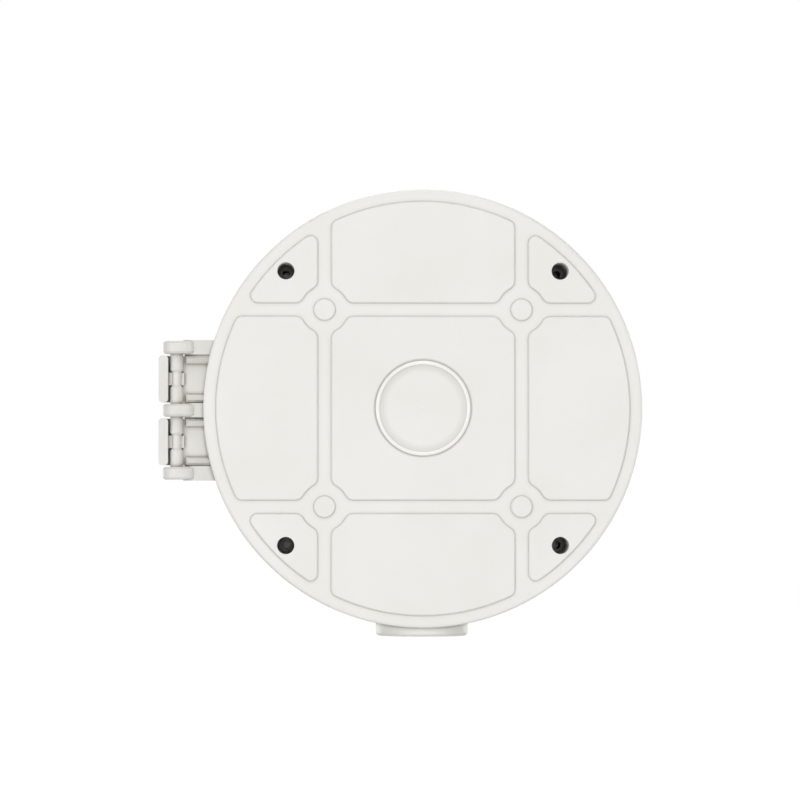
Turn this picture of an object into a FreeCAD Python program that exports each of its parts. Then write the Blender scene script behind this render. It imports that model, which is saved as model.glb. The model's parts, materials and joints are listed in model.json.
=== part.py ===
import FreeCAD, Part
import math
import os
import Sketcher

# Camera junction box: a round moulded base that screws to a wall, and a hinged lid that carries a camera.
# The row frame stands as the box hangs on a wall: +Z up, the wall face in the plane Y = 0, the lid at +Y.
# Every sub-part is drawn in its own frame as seen from the wall: x right, y down, z into the depth.

doc = FreeCAD.newDocument("camera_junction_box")

# Driving dimensions, in millimetres and degrees
DIMENSIONS = [
    # base, outside
    ("face_radius", 75.0, "radius of the wall side of the base"),
    ("base_flare", 0.8, "growth of that radius up to the ledge under the lid, for mould draft"),
    ("base_depth", 34.6, "wall plane to the ledge that the lid closes on"),
    ("rim_round", 0.9, "round of the outer edge on the wall side"),
    ("plate_thickness", 2.5, "back plate between the channels and the inside"),
    ("wall_thickness", 2.7, "side wall at the back plate"),
    ("inside_slope", 2.0, "slope between back plate and side wall"),
    ("ledge_width", 1.45, "ledge outside the sealing tongue"),
    ("tongue_thickness", 1.4, "tongue that presses on the gasket"),
    ("tongue_rise", 2.0, "height of the tongue above the ledge"),
    ("seam_slope", 0.35, "broken edges at the seam between base and lid"),
    # base, raised panels on the wall side
    ("panel_rise", 0.7, "panels above the channels"),
    ("panel_radius", 70.8, "outer arc of the panels"),
    ("panel_round", 2.5, "rounding of the outer panel corners in plan"),
    ("crossing_round", 3.2, "rounding of the panel corners at the clearings"),
    ("panel_edge", 0.45, "slope along the edges of the panels and discs"),
    ("channel_width", 4.5, "crossing channels between the panels"),
    ("channel_offset", 33.65, "centre line of each channel from the middle"),
    ("crossing_radius", 8.1, "round clearing where two channels cross"),
    ("drill_disc_radius", 3.75, "raised disc that marks a place to drill"),
    # base, knock-out in the middle
    ("ring_radius", 15.6, "crest of the rounded ring"),
    ("ring_round", 0.95, "rounding of the ring across its crest"),
    ("knockout_sink", 0.9, "disc inside the ring below the wall plane"),
    ("knockout_hollow", 2.5, "width of the hollow from the ring down to the disc"),
    ("gate_radius", 0.8, "mark of the moulding gate in the middle"),
    ("gate_rise", 0.25, "height of that mark"),
    ("groove_width", 1.4, "outer edge of the groove round the ring, from the ring's crest"),
    # base, corner bosses
    ("boss_offset", 46.85, "corner bosses from the middle, across and down"),
    ("boss_radius", 5.6, "outside of a corner boss"),
    ("boss_web", 3.0, "thickness of the web from a boss to the side wall"),
    ("boss_drop", 0.4, "top of a boss below the ledge"),
    ("core_radius", 2.95, "core of a boss, open on the wall side"),
    ("core_depth", 20.0, "depth of that core from the wall plane"),
    ("pilot_radius", 1.3, "small hole on from the core, which the lid screw cuts its thread in"),
    # base, conduit entry
    ("conduit_radius", 15.85, "outside of the conduit boss"),
    ("conduit_bore_radius", 13.22, "bore of the conduit boss at the root of its pipe thread"),
    ("conduit_axis_depth", 18.0, "axis of the conduit boss behind the wall plane"),
    ("conduit_end", 78.0, "outer end of the conduit boss below the middle"),
    ("conduit_inner_end", 62.0, "inner end of the conduit boss below the middle"),
    ("conduit_chamfer", 0.8, "lead-in of the bore and break of the outer edge"),
    # hinge, base half
    ("hinge_offset", 85.3, "hinge axis to the left of the middle"),
    ("hinge_depth", 35.4, "hinge axis behind the wall plane"),
    ("knuckle_pitch", 22.0, "spacing of the three knuckles"),
    ("knuckle_width", 4.4, "thickness of a knuckle along the axis"),
    ("knuckle_radius", 4.85, "round end of a knuckle about the axis"),
    ("knuckle_stretch", 2.4, "length of a knuckle between its round ends"),
    ("knuckle_edge", 0.75, "slope along a knuckle's rims"),
    ("lug_width", 5.0, "width of the plate that joins a knuckle to the side wall"),
    ("lug_thickness", 1.8, "thickness of that plate"),
    ("lug_drop", 0.4, "top of that plate below the ledge"),
    ("rod_radius", 2.25, "hinge rod"),
    ("waist_radius", 1.575, "waist of the rod that a hook turns on"),
    ("waist_length", 4.6, "length of the waist"),
    ("waist_slope", 0.85, "run of the slope at each end of the waist"),
    # hinge, lid half
    ("hook_height", 16.3, "length of a hook along the axis"),
    ("hook_reach", 6.2, "outside of a hook from the axis"),
    ("hook_tab", 3.3, "thickness of the tab outside the rod"),
    ("hook_tab_end", 3.2, "tab reaches this far past the axis towards the wall"),
    ("hook_round", 1.2, "rounding of a hook's outer outline"),
    ("hook_seat_gap", 0.4, "space round the rod inside a hook"),
    ("hook_floor", 1.6, "face of the arm behind the axis"),
    ("slot_width", 1.7, "slot along the inside of the tab, which lets it spring"),
    ("slot_depth", 3.4, "bottom of that slot behind the axis"),
    ("waist_gap", 0.08, "running clearance between a hook's rib and the waist"),
    ("rib_length", 4.4, "length of the rib that grips the waist"),
    ("rib_end", 0.7, "rib reaches this far past the axis towards the wall"),
    ("rib_low_side", 0.6, "rib's side towards the box starts this far behind the axis"),
    ("leaf_gap", 0.35, "clearance between the knuckles and the leaf that backs the hooks"),
    ("leaf_start", 2.6, "leaf starts this far from the axis"),
    ("rail_width", 2.7, "rail along each side of an arm"),
    ("rail_rise", 1.8, "height of a rail above the arm"),
    ("rail_start", 3.2, "rail starts this far from the axis"),
    ("rail_edge", 0.75, "slope along a rail's edges"),
    # lid
    ("overall_depth", 50.0, "wall plane to the front of the lid"),
    ("lid_taper", 0.7, "lid's radius at the front less than at its rim"),
    ("lid_wall", 2.6, "front plate of the lid"),
    ("lid_front_round", 3.0, "round of the front edge"),
    ("tongue_gap", 0.2, "clearance on each side of the tongue and of the gasket"),
    ("inner_lip", 1.7, "inner wall of the gasket channel"),
    ("inner_lip_end", 1.0, "inner wall ends this far above the ledge"),
    ("gasket_height", 1.4, "height of the gasket on the tongue"),
    ("screw_tube_radius", 5.6, "tube round a lid screw"),
    ("screw_tube_end", 4.0, "tube ends this far above the ledge"),
    ("counterbore_radius", 3.3, "counterbore for the head of a lid screw"),
    ("counterbore_depth", 8.0, "depth of the counterbore from the front"),
    ("screw_hole_radius", 1.7, "hole for the shank of a lid screw"),
    # lid screws
    ("screw_radius", 1.5, "shank of a lid screw"),
    ("screw_head_radius", 2.8, "head of a lid screw"),
    ("screw_head_height", 2.4, "height of the head"),
    ("screw_head_edge", 0.8, "slope round the top of the head"),
    ("screw_clear", 2.4, "tip of a backed-out screw above its boss"),
    ("screw_sink", 0.4, "head below the front of the lid when the screw is backed out"),
    ("recess_width", 0.8, "arms of the cross recess"),
    ("recess_span", 3.2, "span of the cross recess"),
    ("recess_depth", 1.5, "depth of the cross recess"),
    # cable outlet
    ("cable_hole_radius", 11.0, "hole in the middle of the lid"),
    ("grommet_gap", 0.1, "clearance between grommet and hole"),
    ("grommet_lip", 2.2, "overlap of the grommet's flanges beyond the hole"),
    ("grommet_front", 1.0, "height of the flange in front of the lid"),
    ("grommet_back", 1.6, "height of the flange inside the lid"),
    ("grommet_bore_radius", 4.0, "bore for the camera's cable"),
    # camera fixing
    ("camera_circle_radius", 39.0, "circle of the camera screws"),
    ("camera_boss_radius", 4.6, "boss round a camera insert"),
    ("camera_insert_radius", 3.1, "six-sided outside of a camera insert, across its corners"),
    ("camera_insert_length", 7.0, "length of a camera insert"),
    ("camera_insert_bore", 1.65, "threaded bore of a camera insert"),
    ("camera_insert_sink", 0.2, "insert below the front of the lid"),
    ("camera_insert_gap", 0.05, "clearance round a camera insert"),
    ("camera_boss_floor", 1.2, "closed end of the boss behind the insert"),
]

sizes = doc.addObject("Spreadsheet::Sheet", "sizes")
for row, (alias, value, note) in enumerate(DIMENSIONS, start=1):
    sizes.set(f"A{row}", alias)
    sizes.set(f"B{row}", str(value))
    sizes.set(f"C{row}", note)
    sizes.setAlias(f"B{row}", alias)
doc.recompute()

# Named sums of the driving dimensions, written as expressions so that every feature follows the sheet
FLOOR = "(sizes.panel_rise + sizes.plate_thickness)"
LEDGE_RADIUS = "(sizes.face_radius + sizes.base_flare)"
TONGUE_OUTER = "(sizes.face_radius + sizes.base_flare - sizes.ledge_width)"
TONGUE_INNER = "(sizes.face_radius + sizes.base_flare - sizes.ledge_width - sizes.tongue_thickness)"
TONGUE_TOP = "(sizes.base_depth + sizes.tongue_rise)"
BOSS_TOP = "(sizes.base_depth - sizes.boss_drop)"
CHANNEL_OUTER = f"({TONGUE_OUTER} + sizes.tongue_gap)"
CHANNEL_INNER = f"({TONGUE_INNER} - sizes.tongue_gap)"
CHANNEL_TOP = f"({TONGUE_TOP} + sizes.gasket_height)"
SKIRT = "(sizes.ledge_width - sizes.tongue_gap)"
LID_INNER = f"({CHANNEL_INNER} - sizes.inner_lip)"
LID_INSIDE = "(sizes.overall_depth - sizes.lid_wall)"
TUBE_END = "(sizes.base_depth + sizes.screw_tube_end)"
CAMERA_BOSS_END = ("(sizes.overall_depth - sizes.camera_insert_sink - sizes.camera_insert_length"
                   " - sizes.camera_boss_floor)")

CORNERS = {
    "top_left": (-1, -1),
    "top_right": (1, -1),
    "bottom_right": (1, 1),
    "bottom_left": (-1, 1),
}
QUARTERS = {"right": (1, 0), "bottom": (0, 1), "left": (-1, 0), "top": (0, -1)}
HOOK_ROWS = (-0.5, 0.5)
KNUCKLE_ROWS = (-1, 0, 1)
WALL_VIEW = FreeCAD.Rotation(FreeCAD.Vector(1, 0, 0), -90)
DIAGONAL = "45"
RIM_ANGLE = 45
SAME = 0.01

# Points on the hollow inside the knock-out ring, as parts of its width and of its depth
HOLLOW_POINTS = ((0.1, 0.7), (0.45, 0.9))
CREST_ANGLES = (-30, -150)
CREST_FLATS = 5


def value(alias):
    """Return a driving dimension as a plain number."""
    return float(sizes.get(alias))


def new_body(label, place=None):
    """Start a sub-part in the wall-view frame, moved to an x, y, z place given as expressions."""
    body = doc.addObject("PartDesign::Body", label)
    body.Label = label
    body.Placement = FreeCAD.Placement(FreeCAD.Vector(0, 0, 0), WALL_VIEW)
    if place:
        across, down, depth = place
        body.setExpression("Placement.Base.x", across)
        body.setExpression("Placement.Base.y", depth)
        body.setExpression("Placement.Base.z", f"-({down})")
    return body


def new_sketch(body, name, role="XY_Plane", shift=None):
    """Add a sketch on one of the body's origin planes; shift maps offset properties to expressions."""
    sketch = body.newObject("Sketcher::SketchObject", name)
    sketch.AttachmentSupport = [(plane, "") for plane in body.Origin.OriginFeatures if plane.Role == role]
    sketch.MapMode = "FlatFace"
    for target, expression in (shift or {}).items():
        sketch.setExpression(f"AttachmentOffset.{target}", expression)
    return sketch


def pin_point(sketch, line, end, across, up):
    """Fix one end of a sketch element at a place given as two expressions."""
    for kind, expression in (("DistanceX", across), ("DistanceY", up)):
        number = sketch.addConstraint(Sketcher.Constraint(kind, line, end, 1.0))
        sketch.setExpression(f"Constraints[{number}]", expression)


def draw_polygon(sketch, corners):
    """Draw a closed outline of straight lines through corners given as expressions."""
    first = sketch.GeometryCount
    count = len(corners)
    start = [
        FreeCAD.Vector(math.cos(math.tau * step / count), math.sin(math.tau * step / count), 0)
        for step in range(count)
    ]
    for step in range(count):
        sketch.addGeometry(Part.LineSegment(start[step], start[(step + 1) % count]))
    for step in range(count):
        following = first + (step + 1) % count
        sketch.addConstraint(Sketcher.Constraint("Coincident", first + step, 2, following, 1))
    for step, (across, up) in enumerate(corners):
        pin_point(sketch, first + step, 1, across, up)


def draw_rectangle(sketch, left, right, low, high):
    """Draw a rectangle between four sides given as expressions."""
    draw_polygon(sketch, [(left, low), (right, low), (right, high), (left, high)])


def draw_hexagon(sketch, across, up, radius):
    """Draw a hexagon about a centre from expressions; the radius reaches its corners."""
    corners = []
    for step in range(6):
        turned = step * math.tau / 6
        corners.append((f"{across} + ({radius}) * {math.cos(turned):.6f}",
                        f"{up} + ({radius}) * {math.sin(turned):.6f}"))
    draw_polygon(sketch, corners)


def round_points(across, up, radius, start, end, steps):
    """Give the corners of short flats along an arc, as expressions; its angles are in degrees."""
    corners = []
    for step in range(steps + 1):
        turned = math.radians(start + (end - start) * step / steps)
        corners.append((f"{across} + ({radius}) * {math.cos(turned):.6f}",
                        f"{up} + ({radius}) * {math.sin(turned):.6f}"))
    return corners


def draw_circle(sketch, across, up, radius):
    """Draw a circle from expressions."""
    number = sketch.addGeometry(Part.Circle(FreeCAD.Vector(0, 0, 0), FreeCAD.Vector(0, 0, 1), 1.0))
    pin_point(sketch, number, 3, across, up)
    bound = sketch.addConstraint(Sketcher.Constraint("Radius", number, 1.0))
    sketch.setExpression(f"Constraints[{bound}]", radius)


def extrude(body, kind, name, sketch, length, backwards=False, both_ways=False):
    """Pad or pocket a sketch by a length given as an expression."""
    feature = body.newObject(f"PartDesign::{kind}", name)
    feature.Profile = sketch
    feature.setExpression("Length", length)
    feature.Reversed = backwards
    feature.Midplane = both_ways
    sketch.Visibility = False
    doc.recompute()
    return feature


def turn(body, kind, name, sketch):
    """Turn a profile a full circle about its sketch's upright axis."""
    feature = body.newObject(f"PartDesign::{kind}", name)
    feature.Profile = sketch
    feature.ReferenceAxis = (sketch, ["V_Axis"])
    feature.Angle = 360
    doc.recompute()
    return feature


def draw_slot(sketch, left, right, middle, radius):
    """Draw a slot with round ends about two centres on one level, from expressions."""
    arcs = []
    for side, across in ((-1, left), (1, right)):
        circle = Part.Circle(FreeCAD.Vector(side, 0, 0), FreeCAD.Vector(0, 0, 1), 1.0)
        start = -side * math.pi / 2
        arcs.append(sketch.addGeometry(Part.ArcOfCircle(circle, start, start + math.pi)))
        pin_point(sketch, arcs[-1], 3, across, middle)
        bound = sketch.addConstraint(Sketcher.Constraint("Radius", arcs[-1], 1.0))
        sketch.setExpression(f"Constraints[{bound}]", radius)
    for left_end, right_end, height in ((1, 2, 1), (2, 1, -1)):
        ends = (FreeCAD.Vector(-1, height, 0), FreeCAD.Vector(1, height, 0))
        line = sketch.addGeometry(Part.LineSegment(*ends))
        sketch.addConstraint(Sketcher.Constraint("Tangent", arcs[0], left_end, line, 1))
        sketch.addConstraint(Sketcher.Constraint("Tangent", arcs[1], right_end, line, 2))


def soften(body, kind, name, size, wanted):
    """Fillet or chamfer the edges of the body so far for which wanted(edge) holds."""
    base = body.Tip
    names = [f"Edge{number}" for number, edge in enumerate(base.Shape.Edges, start=1) if wanted(edge)]
    feature = body.newObject(f"PartDesign::{kind}", name)
    feature.Base = (base, names)
    feature.setExpression("Radius" if kind == "Fillet" else "Size", size)
    doc.recompute()
    return feature


def ring_at(edge, radius, depth):
    """Tell whether an edge is a full ring about the z axis with this radius and depth."""
    curve = edge.Curve
    if not isinstance(curve, Part.Circle) or not edge.isClosed():
        return False
    centre = curve.Center
    on_axis = math.hypot(centre.x, centre.y) < SAME
    return on_axis and abs(curve.Radius - radius) < SAME and abs(centre.z - depth) < SAME


def spans_depth(edge, low, high):
    """Tell whether an edge is a straight line along z between two depths."""
    box = edge.BoundBox
    upright = box.XLength < SAME and box.YLength < SAME
    return upright and abs(box.ZMin - low) < SAME and abs(box.ZMax - high) < SAME


def lies_at(edge, **places):
    """Tell whether an edge lies in planes such as z=0, given by axis name."""
    box = edge.BoundBox
    for axis, place in places.items():
        low = getattr(box, f"{axis.upper()}Min")
        high = getattr(box, f"{axis.upper()}Max")
        if abs(low - place) > SAME or abs(high - place) > SAME:
            return False
    return True


# Base: cup with tapered side wall and sealing tongue


def add_base_shell(base):
    rim = round_points("sizes.face_radius - sizes.rim_round", "sizes.panel_rise + sizes.rim_round",
                       "sizes.rim_round", -90, 0, 2)
    inner = "(sizes.face_radius - sizes.wall_thickness)"
    profile = new_sketch(base, "base_profile", "XZ_Plane")
    draw_polygon(profile, [
        ("0", "sizes.panel_rise"),
        *rim,
        (LEDGE_RADIUS, "sizes.base_depth - sizes.seam_slope"),
        (f"{LEDGE_RADIUS} - sizes.seam_slope", "sizes.base_depth"),
        (TONGUE_OUTER, "sizes.base_depth"),
        (TONGUE_OUTER, TONGUE_TOP),
        (TONGUE_INNER, TONGUE_TOP),
        (inner, f"{FLOOR} + sizes.inside_slope"),
        (f"{inner} - sizes.inside_slope", FLOOR),
        ("0", FLOOR),
    ])
    turn(base, "Revolution", "base_shell", profile)


# Base: nine raised panels, parted by two pairs of crossing channels


def at_outer_arc(edge):
    """Tell whether an upright edge lies on the outer arc of the panels."""
    return abs(math.hypot(edge.CenterOfMass.x, edge.CenterOfMass.y) - value("panel_radius")) < SAME


def add_panels(base):
    disc = new_sketch(base, "panel_disc_sketch")
    draw_circle(disc, "0", "0", "sizes.panel_radius")
    extrude(base, "Pad", "panel_disc", disc, "sizes.panel_rise")
    near = "sizes.channel_offset - sizes.channel_width / 2"
    far = "sizes.channel_offset + sizes.channel_width / 2"
    reach = "sizes.panel_radius + sizes.channel_width"
    upright = new_sketch(base, "upright_channels_sketch")
    level = new_sketch(base, "level_channels_sketch")
    for low, high in ((near, far), (f"-({far})", f"-({near})")):
        draw_rectangle(upright, low, high, f"-({reach})", reach)
        draw_rectangle(level, f"-({reach})", reach, low, high)
    crossings = new_sketch(base, "crossings_sketch")
    for side, drop in CORNERS.values():
        draw_circle(crossings, f"{side} * sizes.channel_offset", f"{drop} * sizes.channel_offset",
                    "sizes.crossing_radius")
    extrude(base, "Pocket", "upright_channels", upright, "sizes.panel_rise", backwards=True)
    extrude(base, "Pocket", "level_channels", level, "sizes.panel_rise", backwards=True)
    extrude(base, "Pocket", "crossings", crossings, "sizes.panel_rise", backwards=True)
    rise = value("panel_rise")
    soften(base, "Fillet", "crossing_corners", "sizes.crossing_round",
           lambda edge: spans_depth(edge, 0, rise) and not at_outer_arc(edge))
    soften(base, "Fillet", "panel_corners", "sizes.panel_round",
           lambda edge: spans_depth(edge, 0, rise) and at_outer_arc(edge))
    marks = new_sketch(base, "drill_discs_sketch")
    for side, drop in CORNERS.values():
        draw_circle(marks, f"{side} * sizes.channel_offset", f"{drop} * sizes.channel_offset",
                    "sizes.drill_disc_radius")
    extrude(base, "Pad", "drill_discs", marks, "sizes.panel_rise")
    soften(base, "Chamfer", "panel_edges", "sizes.panel_edge", lambda edge: lies_at(edge, z=0))


# Base: round knock-out in the middle panel, a sunk disc inside a rounded ring with a fine groove round it


def add_knockout(base):
    crest = round_points("sizes.ring_radius", "sizes.ring_round", "sizes.ring_round", *CREST_ANGLES,
                         CREST_FLATS)
    foot = "(sizes.ring_radius - sizes.ring_round)"
    hollow = [
        (f"{foot} - sizes.knockout_hollow * {inwards}", f"sizes.knockout_sink * {down}")
        for inwards, down in HOLLOW_POINTS
    ]
    groove_outer = "sizes.ring_radius + sizes.groove_width"
    profile = new_sketch(base, "knockout_profile", "XZ_Plane")
    draw_polygon(profile, [
        (groove_outer, "-sizes.knockout_sink"),
        (groove_outer, "0"),
        *crest,
        *hollow,
        (f"{foot} - sizes.knockout_hollow", "sizes.knockout_sink"),
        ("sizes.gate_radius", "sizes.knockout_sink"),
        ("0", "sizes.knockout_sink - sizes.gate_rise"),
        ("0", "-sizes.knockout_sink"),
    ])
    turn(base, "Groove", "knockout", profile)


# Base: four corner bosses, cored from the wall side, each with a web to the side wall


def add_corner_bosses(base):
    tilt = {"Base.z": FLOOR, "Rotation.Angle": DIAGONAL}
    posts = new_sketch(base, "boss_sketch", shift={"Base.z": FLOOR})
    cores = new_sketch(base, "core_sketch")
    pilots = new_sketch(base, "pilot_sketch")
    for side, drop in CORNERS.values():
        place = (f"{side} * sizes.boss_offset", f"{drop} * sizes.boss_offset")
        draw_circle(posts, *place, "sizes.boss_radius")
        draw_circle(cores, *place, "sizes.core_radius")
        draw_circle(pilots, *place, "sizes.pilot_radius")
    extrude(base, "Pad", "bosses", posts, f"{BOSS_TOP} - {FLOOR}")
    web = new_sketch(base, "web_sketch", shift=tilt)
    draw_rectangle(web, "sizes.boss_offset * sqrt(2)", "sizes.face_radius - sizes.wall_thickness / 2",
                   "-sizes.boss_web / 2", "sizes.boss_web / 2")
    extrude(base, "Pad", "web", web, f"{BOSS_TOP} - {FLOOR}")
    webs = base.newObject("PartDesign::PolarPattern", "webs")
    webs.Originals = [doc.getObject("web")]
    webs.Axis = (web, ["N_Axis"])
    webs.Angle = 360
    webs.Occurrences = len(CORNERS)
    base.Tip = webs
    doc.recompute()
    extrude(base, "Pocket", "cores", cores, "sizes.core_depth", backwards=True)
    extrude(base, "Pocket", "pilots", pilots, BOSS_TOP, backwards=True)


# Base: conduit boss through the bottom of the side wall


def add_conduit_boss(base):
    boss = new_sketch(base, "conduit_sketch", "XZ_Plane", {"Base.z": "-sizes.conduit_inner_end"})
    draw_circle(boss, "0", "sizes.conduit_axis_depth", "sizes.conduit_radius")
    length = "(sizes.conduit_end - sizes.conduit_inner_end)"
    extrude(base, "Pad", "conduit_boss", boss, length, backwards=True)
    bore = new_sketch(base, "conduit_bore_sketch", "XZ_Plane", {"Base.z": "-sizes.conduit_end"})
    draw_circle(bore, "0", "sizes.conduit_axis_depth", "sizes.conduit_bore_radius")
    extrude(base, "Pocket", "conduit_bore", bore, f"{length} + sizes.wall_thickness", backwards=True)

    def mouth(edge):
        curve = edge.Curve
        return isinstance(curve, Part.Circle) and abs(curve.Center.y - value("conduit_end")) < SAME

    soften(base, "Chamfer", "conduit_mouth", "sizes.conduit_chamfer", mouth)


# Base: three hinge lugs with knuckles, and one rod with two waists through them


def add_knuckle(base, number, middle):
    """Add a knuckle as a straight band with a sloping rim on each side."""
    left = "-sizes.hinge_offset"
    right = f"{left} + sizes.knuckle_stretch"
    band = new_sketch(base, f"knuckle_sketch_{number}", "XZ_Plane", {"Base.z": f"-{middle}"})
    draw_slot(band, left, right, "sizes.hinge_depth", "sizes.knuckle_radius")
    extrude(base, "Pad", f"knuckle_{number}", band, "sizes.knuckle_width - 2 * sizes.knuckle_edge",
            both_ways=True)
    for side in (-1, 1):
        shift = f"-({middle} + {side} * (sizes.knuckle_width / 2 - sizes.knuckle_edge))"
        rim = new_sketch(base, f"rim_sketch_{number}_{side + 2}", "XZ_Plane", {"Base.z": shift})
        draw_slot(rim, left, right, "sizes.hinge_depth", "sizes.knuckle_radius")
        slope = extrude(base, "Pad", f"rim_{number}_{side + 2}", rim, "sizes.knuckle_edge",
                        backwards=side > 0)
        slope.TaperAngle = -RIM_ANGLE
        doc.recompute()


def add_hinge_rods(base):
    left = "-sizes.hinge_offset"
    for row in KNUCKLE_ROWS:
        number = row + 2
        middle = f"({row} * sizes.knuckle_pitch)"
        plate = new_sketch(base, f"lug_sketch_{number}", "XZ_Plane", {"Base.z": f"-{middle}"})
        in_wall = f"-sqrt(({LEDGE_RADIUS} - sizes.wall_thickness / 2)^2 - {middle}^2)"
        plate_top = "(sizes.base_depth - sizes.lug_drop)"
        draw_rectangle(plate, f"{left} + sizes.knuckle_stretch", in_wall,
                       f"{plate_top} - sizes.lug_thickness", plate_top)
        extrude(base, "Pad", f"lug_{number}", plate, "sizes.lug_width", both_ways=True)
        add_knuckle(base, number, middle)
    rod = new_sketch(base, "rod_profile", shift={"Base.x": left, "Base.z": "sizes.hinge_depth"})
    outline = [("0", "-sizes.knuckle_pitch"), ("sizes.rod_radius", "-sizes.knuckle_pitch")]
    for row in HOOK_ROWS:
        centre = f"{row} * sizes.knuckle_pitch"
        half = "sizes.waist_length / 2"
        outline += [
            ("sizes.rod_radius", f"{centre} - {half} - sizes.waist_slope"),
            ("sizes.waist_radius", f"{centre} - {half}"),
            ("sizes.waist_radius", f"{centre} + {half}"),
            ("sizes.rod_radius", f"{centre} + {half} + sizes.waist_slope"),
        ]
    outline += [("sizes.rod_radius", "sizes.knuckle_pitch"), ("0", "sizes.knuckle_pitch")]
    draw_polygon(rod, outline)
    turn(base, "Revolution", "rod", rod)


def make_base():
    base = new_body("base")
    add_base_shell(base)
    add_panels(base)
    add_knockout(base)
    add_corner_bosses(base)
    add_conduit_boss(base)
    add_hinge_rods(base)
    return base


# Lid: shallow cap with skirt, gasket channel and front plate


def add_lid_shell(lid):
    front = round_points(f"{LEDGE_RADIUS} - sizes.lid_taper - sizes.lid_front_round",
                         "sizes.overall_depth - sizes.lid_front_round", "sizes.lid_front_round", 90, 0, 3)
    profile = new_sketch(lid, "lid_profile", "XZ_Plane")
    draw_polygon(profile, [
        ("0", "sizes.overall_depth"),
        *front,
        (LEDGE_RADIUS, "sizes.base_depth + sizes.seam_slope"),
        (f"{LEDGE_RADIUS} - sizes.seam_slope", "sizes.base_depth"),
        (CHANNEL_OUTER, "sizes.base_depth"),
        (CHANNEL_OUTER, CHANNEL_TOP),
        (CHANNEL_INNER, CHANNEL_TOP),
        (CHANNEL_INNER, "sizes.base_depth + sizes.inner_lip_end"),
        (LID_INNER, "sizes.base_depth + sizes.inner_lip_end"),
        (LID_INNER, LID_INSIDE),
        ("0", LID_INSIDE),
    ])
    turn(lid, "Revolution", "lid_shell", profile)
    hole = new_sketch(lid, "cable_hole_sketch", shift={"Base.z": "sizes.overall_depth"})
    draw_circle(hole, "0", "0", "sizes.cable_hole_radius")
    extrude(lid, "Pocket", "cable_hole", hole, "sizes.lid_wall")


# Lid: tubes and counterbores for the lid screws, closed bosses for the camera inserts


def add_lid_bosses(lid):
    tubes = new_sketch(lid, "screw_tube_sketch", shift={"Base.z": LID_INSIDE})
    heads = new_sketch(lid, "counterbore_sketch", shift={"Base.z": "sizes.overall_depth"})
    holes = new_sketch(lid, "screw_hole_sketch", shift={"Base.z": "sizes.overall_depth"})
    for side, drop in CORNERS.values():
        place = (f"{side} * sizes.boss_offset", f"{drop} * sizes.boss_offset")
        draw_circle(tubes, *place, "sizes.screw_tube_radius")
        draw_circle(heads, *place, "sizes.counterbore_radius")
        draw_circle(holes, *place, "sizes.screw_hole_radius")
    extrude(lid, "Pad", "screw_tubes", tubes, f"{LID_INSIDE} - {TUBE_END}", backwards=True)
    extrude(lid, "Pocket", "counterbores", heads, "sizes.counterbore_depth")
    extrude(lid, "Pocket", "screw_holes", holes, f"sizes.overall_depth - {TUBE_END}")
    bosses = new_sketch(lid, "camera_boss_sketch", shift={"Base.z": LID_INSIDE})
    seats = new_sketch(lid, "camera_seat_sketch", shift={"Base.z": "sizes.overall_depth"})
    for side, drop in QUARTERS.values():
        place = (f"{side} * sizes.camera_circle_radius", f"{drop} * sizes.camera_circle_radius")
        draw_circle(bosses, *place, "sizes.camera_boss_radius")
        draw_hexagon(seats, *place, "sizes.camera_insert_radius + sizes.camera_insert_gap")
    extrude(lid, "Pad", "camera_bosses", bosses, f"{LID_INSIDE} - {CAMERA_BOSS_END}", backwards=True)
    extrude(lid, "Pocket", "camera_seats", seats, "sizes.camera_insert_sink + sizes.camera_insert_length")


# Lid: two spring hooks, each with side rails and a middle rib that grips the waist of the rod


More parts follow.
